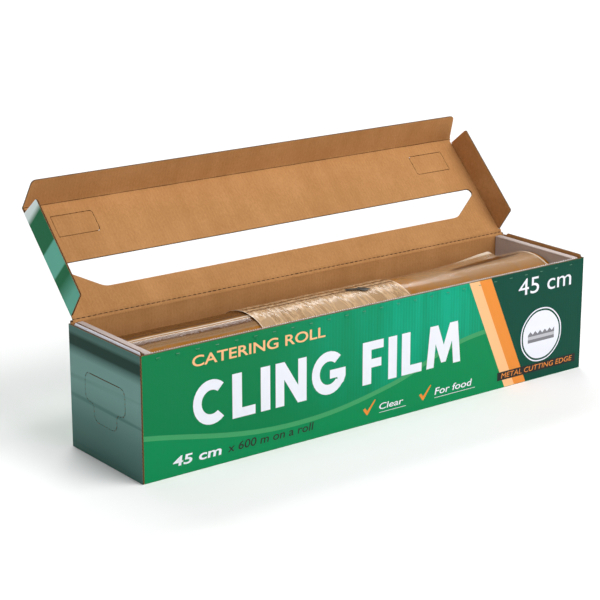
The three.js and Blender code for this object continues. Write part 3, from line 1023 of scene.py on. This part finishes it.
# Each letter is its width and its outlines, all as shares of its height.
STROKES = {
    "C": (0.86, [[*ring_part(48, 312, 0.5), *ring_part(308, 52, 0.27)]]),
    "L": (0.60, [[(0, 0), (0.60, 0), (0.60, 0.21), (0.25, 0.21), (0.25, 1), (0, 1)]]),
    "I": (0.25, [[(0, 0), (0.25, 0), (0.25, 1), (0, 1)]]),
    "N": (0.84, [[(0, 0), (0.23, 0), (0.23, 0.60), (0.60, 0), (0.84, 0), (0.84, 1), (0.61, 1),
                  (0.61, 0.40), (0.24, 1), (0, 1)]]),
    "G": (0.94, [[*ring_part(45, 325, 0.5), *ring_part(322, 50, 0.27)],
                 [(0.50, 0.36), (0.94, 0.36), (0.94, 0.56), (0.50, 0.56)],
                 [(0.71, 0.12), (0.88, 0.22), (0.94, 0.36), (0.71, 0.40)]]),
    "F": (0.60, [[(0, 0), (0.25, 0), (0.25, 0.38), (0.54, 0.38), (0.54, 0.58), (0.25, 0.58),
                  (0.25, 0.8), (0.60, 0.8), (0.60, 1), (0, 1)]]),
    "M": (1.04, [[(0, 0), (0.22, 0), (0.27, 0.56), (0.45, 0.08), (0.59, 0.08), (0.77, 0.56),
                  (0.82, 0), (1.04, 0), (0.94, 1), (0.70, 1), (0.52, 0.50), (0.34, 1), (0.10, 1)]]),
}
CAP_HEIGHT = 38
CAP_GAP = 5.5


def bold_word(word, x, z):
    for place, letter in enumerate(word):
        width, outlines = STROKES[letter]
        for number, outline in enumerate(outlines):
            loop = [(x + u * CAP_HEIGHT, z + v * CAP_HEIGHT) for u, v in outline]
            flat_shape(f"title_{word.lower()}_{place}_{number}", [loop], white_ink, 5 + number)
        x += width * CAP_HEIGHT + CAP_GAP
    return x


word_end = bold_word("CLING", -193, 36)
word_end = bold_word("FILM", word_end + 13, 36)
print(f"title ends at x {word_end:.0f} mm")

# %% Words, numbers and ticks
lettering("caption_line", "CATERING ROLL", -193, 87.5, 133, 9.2, peach_ink, weight=0.012)
lettering("size_bold", "45 cm", -213, 8, 47, 8.4, white_ink, slant=0.1, weight=0.02)
lettering("size_light", "x 600 m on a roll", -160, 8.2, 88, 7.2, black_ink, slant=0.15, weight=0.006)
lettering("corner_size", "45 cm", 160, 83, 66, 15.5, white_ink)
lettering("banner_words", "METAL CUTTING EDGE", 141.5, 9.1, 89.5, 4.8, orange_ink, layer=9, slant=0.15)
lettering("note_one", "Clear", -1, 10.4, 27, 5.6, white_ink, slant=0.15, weight=0.008)
lettering("note_two", "For food", 62, 10.4, 44, 6.4, white_ink, slant=0.15, weight=0.008)
TICK = ((0, 14), (2.4, 15), (4.6, 12), (13, 21), (13.8, 20.4), (5, 8.4), (3.8, 8.6))
for name, x, length in (("one", -1, 30), ("two", 62, 48)):
    flat_shape(f"note_{name}_rule", [rectangle(x, x + length, 7.6, 8.0)], white_ink, 5)
    flat_shape(f"tick_{name}", [[(x - 18 + u, z) for u, z in TICK]], orange_ink, 5)
print("lettering done")

# %% Clinch marks take the print under them
for finish in (front_green_ink, deep_green_ink, peach_ink):
    clinch_marks.data.materials.append(finish)
for face in clinch_marks.data.polygons:
    x = face.center.x / MM
    face.material_index = 1 if x > STRIPES[2] + 1 else 2 if x > STRIPES[0] + 1 else 0
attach(clinch_marks, "box")
print("clinch marks coloured")

# %% [markdown]
# ## The roll
# Some 2,700 turns of clear film make an amber cylinder with a hard gloss. It is made from a
# fine cylinder whose two ends are inset and bridged, which leaves the hole for the core. The
# ends show the wound layers as fine rings, and the surface has faint lengthwise lines.

# %% Wound film finish
def make_wound_film():
    made, tree, shader = material("wound_film", (0.30, 0.11, 0.008), 0.26, specular=0.22,
                                  coat=0.35, coat_rough=0.06)
    lengthwise = object_place(tree, Scale=(0.05, 1.0, 1.0))
    lines = noise_at(tree, lengthwise, Scale=260.0, Detail=3.0, Roughness=0.6)
    bands = noise_at(tree, object_place(tree), Scale=10.0, Detail=2.0)
    mix = maths(tree, "MULTIPLY_ADD", lines, 0.45, maths(tree, "MULTIPLY", bands, 0.55))
    amber = blend_colours(tree, mix, (0.19, 0.066, 0.003), (0.47, 0.185, 0.010))
    join(tree, amber, shader.inputs["Base Color"])
    join(tree, bump(tree, lines, 0.00005, strength=0.35), shader.inputs["Normal"])
    return made


def make_film_rings():
    made, tree, shader = material("film_rings", (0.5, 0.3, 0.12), 0.4)
    from_axis = object_place(tree, Location=(0, 0, -roll_axis.z), Scale=(0, 1, 1))
    reach = node(tree, "ShaderNodeVectorMath", operation="LENGTH", Vector=from_axis)
    rings = node(tree, "ShaderNodeTexNoise", noise_dimensions="1D", W=reach.outputs["Value"],
                 Scale=1600.0, Detail=3.0).outputs["Fac"]
    layers = blend_colours(tree, rings, (0.26, 0.13, 0.04), (0.72, 0.52, 0.30))
    join(tree, layers, shader.inputs["Base Color"])
    join(tree, bump(tree, rings, 0.0001, strength=0.8), shader.inputs["Normal"])
    return made


wound_film = make_wound_film()
film_rings = make_film_rings()
paper_core = paper("paper_core", (0.48, 0.37, 0.26), (0.30, 0.22, 0.14), 0.00004, 0.1)
print("roll finishes ready")

# %% Turn the roll and its core
def turned_tube(name, radius, bore, half, finishes, node_name, rim):
    bpy.ops.mesh.primitive_cylinder_add(vertices=160, radius=radius, depth=2 * half, location=roll_axis,
                                        rotation=(0, math.pi / 2, 0))
    piece = bpy.context.object
    piece.name = name
    bpy.ops.object.transform_apply(location=True, rotation=True, scale=True)
    pick_faces(piece, lambda normal: abs(normal.x) > 0.9)
    bpy.ops.mesh.inset(thickness=radius - bore, depth=0, use_individual=False)
    bpy.ops.mesh.bridge_edge_loops()
    mesh = bmesh.from_edit_mesh(piece.data)
    bmesh.ops.recalc_face_normals(mesh, faces=mesh.faces[:])
    bmesh.update_edit_mesh(piece.data)
    to_object_mode()
    for finish in finishes:
        piece.data.materials.append(finish)
    for face in piece.data.polygons:
        face.material_index = min(len(finishes) - 1, 1 if abs(face.normal.x) > 0.9 else 0)
    bevel_rim(piece, rim, 3)
    bpy.ops.object.shade_smooth_by_angle(angle=math.radians(40))
    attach(piece, "roll")
    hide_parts(node_name)


core_low, core_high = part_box("core_tube")
core_radius = (core_high.z - core_low.z) / 2
core_wall = 2.5 * MM
turned_tube("wound_roll", roll_radius, core_radius + 0.2 * MM, film_half, (wound_film, film_rings),
            "film_roll", 0.5 * MM)
turned_tube("paper_tube", core_radius, core_radius - core_wall, core_high.x, (paper_core,),
            "core_tube", 0.2 * MM)
print("roll turned")

# %% [markdown]
# ## Loose film
# The last turn of film has come free. It lies over the roll, clear but wrinkled, with a
# wavy edge that lifts behind the roll and a corner that curls up near the right-hand end.
# It is a grid wrapped round the roll by formula and crumpled with smooth noise, then given
# a little thickness. The crumpled band in the middle is what held the film's start. Three
# values on the points place painted light on the film: its cut edge with painted highlight
# lines, painted dark bands of reflection and shadow, and a painted pale reflection band.

# %% Clear film finishes
def make_clear_film(name, clear, milky, low, high, ridge_scale, stretch_by, relief, gloss):
    made, tree, shader = material(name, milky, 0.2, specular=gloss, coat=gloss / 2, coat_rough=0.08)
    stretched = object_place(tree, Scale=(1.0, stretch_by, stretch_by))
    folds = noise_at(tree, stretched, Scale=ridge_scale, Detail=4.0, Roughness=0.6, Distortion=0.5)
    ridge = maths(tree, "ABSOLUTE", maths(tree, "SUBTRACT", folds, 0.5))
    facing = node(tree, "ShaderNodeLayerWeight", Blend=0.2).outputs["Facing"]
    rim = maths(tree, "MULTIPLY", maths(tree, "POWER", facing, 6.0), 0.35)
    seen = maths(tree, "ADD", map_range(tree, ridge, 0.06, 0.0, low, high), rim)
    # Three point values add painted light: highlight lines with the pale cut edge, painted dark reflection
    # and shadow, and a painted pale reflection band. They also raise the film's alpha there.
    cut, painted_dark_share, painted_sheen = (node(tree, "ShaderNodeAttribute", attribute_name=each).outputs["Fac"]
                        for each in FILM_MARKS)
    for mark, weight in ((cut, 0.8), (painted_dark_share, 0.62), (painted_sheen, 0.5)):
        seen = maths(tree, "MULTIPLY_ADD", mark, weight, seen)
    join(tree, maths(tree, "MINIMUM", seen, 1.0), shader.inputs["Alpha"])
    tone = blend_colours(tree, folds, clear, milky)
    tone = blend_colours(tree, painted_sheen, tone, (0.37, 0.21, 0.095))
    deep = maths(tree, "MINIMUM", maths(tree, "MULTIPLY", painted_dark_share, 3.0), 1.0)
    tone = blend_colours(tree, deep, tone, (0.15, 0.055, 0.012))
    tone = blend_colours(tree, cut, tone, (0.88, 0.76, 0.62))
    join(tree, tone, shader.inputs["Base Color"])
    join(tree, bump(tree, folds, relief), shader.inputs["Normal"])
    return made


FILM_MARKS = ("film_edge_and_highlight", "film_painted_dark", "film_painted_sheen")
clear_film = make_clear_film("clear_film", (0.60, 0.36, 0.14), (0.86, 0.72, 0.54), 0.01, 0.09,
                             80.0, 0.4, 0.0002, 0.2)
start_band = make_clear_film("start_band", (0.48, 0.27, 0.11), (0.88, 0.64, 0.40), 0.45, 0.85,
                             110.0, 0.22, 0.0003, 0.32)
print("film finishes ready")

# %% Wrap the loose film and the band
FILM_THICKNESS = 0.08 * MM
EDGE_SHARE = 0.022


def wrapped(name, finish, x_range, angles, lift, marks, counts, node_name, typical):
    bpy.ops.mesh.primitive_grid_add(x_subdivisions=counts[0], y_subdivisions=counts[1], size=1)
    piece = bpy.context.object
    piece.name = name
    layers = [piece.data.attributes.new(each, "FLOAT", "POINT").name for each in FILM_MARKS]
    for vertex in piece.data.vertices:
        x_share = vertex.co.x + 0.5
        round_share = vertex.co.y + 0.5
        border = min(x_share * 4, (1 - x_share) * 4, round_share, 1 - round_share)
        x = x_range[0] + x_share * (x_range[1] - x_range[0])
        first, last = angles(x)
        degrees = first + round_share * (last - first)
        # The marks are the painted highlight lines, the painted dark share and the painted pale reflection at
        # this point.
        line, painted_dark_mark, painted_sheen_mark = marks(x, degrees)
        values = (max(1 - border / EDGE_SHARE, line, 0.0), painted_dark_mark, painted_sheen_mark)
        for layer, value in zip(layers, values):
            piece.data.attributes[layer].data[vertex.index].value = min(1.0, value)
        angle = math.radians(degrees)
        radius = roll_radius + lift(x, angle, round_share)
        vertex.co = roll_axis + Vector((x, radius * math.cos(angle), radius * math.sin(angle)))
    piece.data.update()
    piece.data.materials.append(finish)
    clean_mesh(piece)
    thicken(piece, "film", FILM_THICKNESS, offset=0)
    bpy.ops.object.shade_smooth_by_angle(angle=math.radians(60))
    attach(piece, "box")
    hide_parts(node_name)
    first, last, height = typical


print("film wrapper ready")

# %% Where the film lifts, and where its painted highlights, shade and reflections go
def bell(x, centre, width):
    return math.exp(-((x - centre) / width) ** 2)


def ramp_up(value, low, high):
    share = min(1.0, max(0.0, (value - low) / (high - low)))
    return share * share * (3 - 2 * share)


# Angles are in degrees round the roll: 90 is its top and smaller ones lean to the back.
# Places along the roll are in metres from its middle.
TAIL_BACK, TAIL_FRONT = 46, 128
BAND_BACK, BAND_FRONT = 56, 124
LOBE_START, LOBE_TIP = 0.128, 0.188
LOBE_ANGLE = 25
# The painted shadow under the lifted corner starts here and runs this far along the roll.
LOBE_SHADOW_START, LOBE_SHADOW_LENGTH = 0.122, 0.092


def wander(x, pitch, seed):
    return noise.noise(Vector((x * pitch, seed, 0)))


def lobe(x):
    rise = ramp_up(x, LOBE_START, LOBE_TIP)
    return rise * (1 - ramp_up(x, LOBE_TIP, LOBE_TIP + 0.006))


def tail_angles(x):
    ragged = 3.0 * wander(x, 35, 0.3) + 1.2 * wander(x, 140, 4.1)
    raised = ramp_up(x, LOBE_START - 0.02, LOBE_START + 0.01)
    raised *= 1 - ramp_up(x, LOBE_TIP, LOBE_TIP + 0.01)
    return TAIL_BACK + ragged + LOBE_ANGLE * raised, TAIL_FRONT


# Painted light on the loose film. On its left part: two thin painted highlight lines, a dark band of painted
# reflection with darker film towards the back, and a pale band of painted reflection. Under the lifted corner
# there is a painted shadow and along its edge a painted highlight. On the right there is a pale painted
# reflection over the top.
def tail_marks(x, degrees):
    left = 1 - ramp_up(x, -0.06, -0.03)
    right = ramp_up(x, 0.06, 0.10)
    seat = degrees + 1.2 * wander(x, 18, 6.3)
    lines = left * max(bell(seat, 97, 0.9), 0.7 * bell(seat, 100.4, 0.7))
    painted_dark = left * ramp_up(seat, 100.6, 102) * (1 - ramp_up(seat, 106, 109))
    painted_sheen_band = left * ramp_up(seat, 106, 109) * (1 - ramp_up(seat, 113, 116))
    along_shadow = (x - LOBE_SHADOW_START) / LOBE_SHADOW_LENGTH
    if 0 < along_shadow < 1:
        off_shadow = abs(degrees - (94.5 - 9 * along_shadow))
        half_shadow = 4.2 * math.sin(math.pi * along_shadow) ** 0.6
        painted_dark = max(painted_dark, 1 - ramp_up(off_shadow, half_shadow * 0.7, half_shadow))
    painted_dark = max(painted_dark, 0.6 * left * (1 - ramp_up(seat, 91, 95)))
    lines = max(lines, 0.85 * lobe(x) * (1 - ramp_up(degrees - tail_angles(x)[0], 2.5, 6.5)))
    top_painted_sheen = 0.32 * right * (1 - ramp_up(degrees, 104, 122))
    return lines, painted_dark, max(painted_sheen_band, top_painted_sheen * (1 - painted_dark))


def tail_lift(x, angle, share):
    free = (1 - share) ** 2
    wave = 0.5 + 0.5 * noise.noise(Vector((x * 22, angle * 1.4, 1.7)))
    small = noise.noise(Vector((x * 160, angle * 7, 5.2)))
    curl = 4.6 * lobe(x) * max(0.0, 1 - share * 4) ** 1.3
    return (0.45 + 1.9 * wave * free + 0.18 * small * (0.3 + free) + curl) * MM


def band_angles(x):
    return BAND_BACK + 2.5 * wander(x, 80, 2.2), BAND_FRONT + 1.5 * wander(x, 60, 8.2)


# Two darker lines run along the band's top, carried in the film's painted dark channel.
def band_marks(x, degrees):
    stripe = bell(degrees + 1.5 * wander(x, 14, 2.9), 84, 1.6)
    return 0.0, 0.7 * stripe + 0.5 * bell(degrees, 92, 1.0), 0.0


def band_lift(x, angle, share):
    pleat = abs(noise.noise(Vector((x * 130, angle * 1.2, 9.1))))
    sag = 0.5 + 0.5 * noise.noise(Vector((x * 25, angle * 2.5, 3.3)))
    return (1.6 + 0.8 * pleat + 0.5 * sag) * MM


tail_low, tail_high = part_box("film_tail")
label_low, label_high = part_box("start_label")
wrapped("loose_film", clear_film, (tail_low.x, tail_high.x), tail_angles, tail_lift, tail_marks,
        (290, 100), "film_tail", (TAIL_BACK, TAIL_FRONT, 1.2 * MM))
wrapped("start_band_film", start_band, (label_low.x, label_high.x), band_angles, band_lift, band_marks,
        (240, 70), "start_label", (BAND_BACK, BAND_FRONT, 2.1 * MM))
print("loose film wrapped")

# %% [markdown]
# ## Pull mark on the band
# A small printed arrow on the band shows where the film starts. It is a divided square, bent
# to the roll's top and narrowed to a point.

# %% Arrow
ARROW_LENGTH, ARROW_OFFSET = 22 * MM, 38 * MM
ARROW_HEIGHT = 3.1 * MM
HEAD_START, HEAD_HALF, SHAFT_HALF = 0.6, 5.0 * MM, 2.0 * MM


def make_arrow():
    bpy.ops.mesh.primitive_plane_add(size=1)
    piece = bpy.context.object
    piece.name = "pull_arrow"
    bpy.ops.object.mode_set(mode="EDIT")
    bpy.ops.mesh.subdivide(number_cuts=7)
    to_object_mode()
    tail_x = (label_low.x + label_high.x) / 2 + ARROW_OFFSET - ARROW_LENGTH / 2
    radius = roll_radius + ARROW_HEIGHT
    for vertex in piece.data.vertices:
        share = vertex.co.x + 0.5
        head = share > HEAD_START
        half_width = HEAD_HALF * (1 - share) / (1 - HEAD_START) if head else SHAFT_HALF
        angle = math.radians(91 + share * 9 + vertex.co.y * 2 * math.degrees(half_width / roll_radius))
        x = tail_x + share * ARROW_LENGTH
        vertex.co = roll_axis + Vector((x, radius * math.cos(angle), radius * math.sin(angle)))
    piece.data.materials.append(black_ink)
    clean_mesh(piece, merge=0.01 * MM)
    thicken(piece, "ink", FILM_THICKNESS)
    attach(piece, "box")
    return piece


print("placed:", make_arrow().name)

# %% [markdown]
# ## Floor finish
# The floor stays plain: a pale matt grey-white with the faintest unevenness.

# %% Floor material
def make_floor():
    made, tree, shader = material("pale_floor", (0.93, 0.93, 0.93), 0.7, specular=0.2)
    cloud = noise_at(tree, object_place(tree), Scale=2.0, Detail=2.0)
    tone = blend_colours(tree, cloud, (0.92, 0.92, 0.92), (0.95, 0.95, 0.95))
    join(tree, tone, shader.inputs["Base Color"])
    return made


floor.data.materials.append(make_floor())
print("floor done")
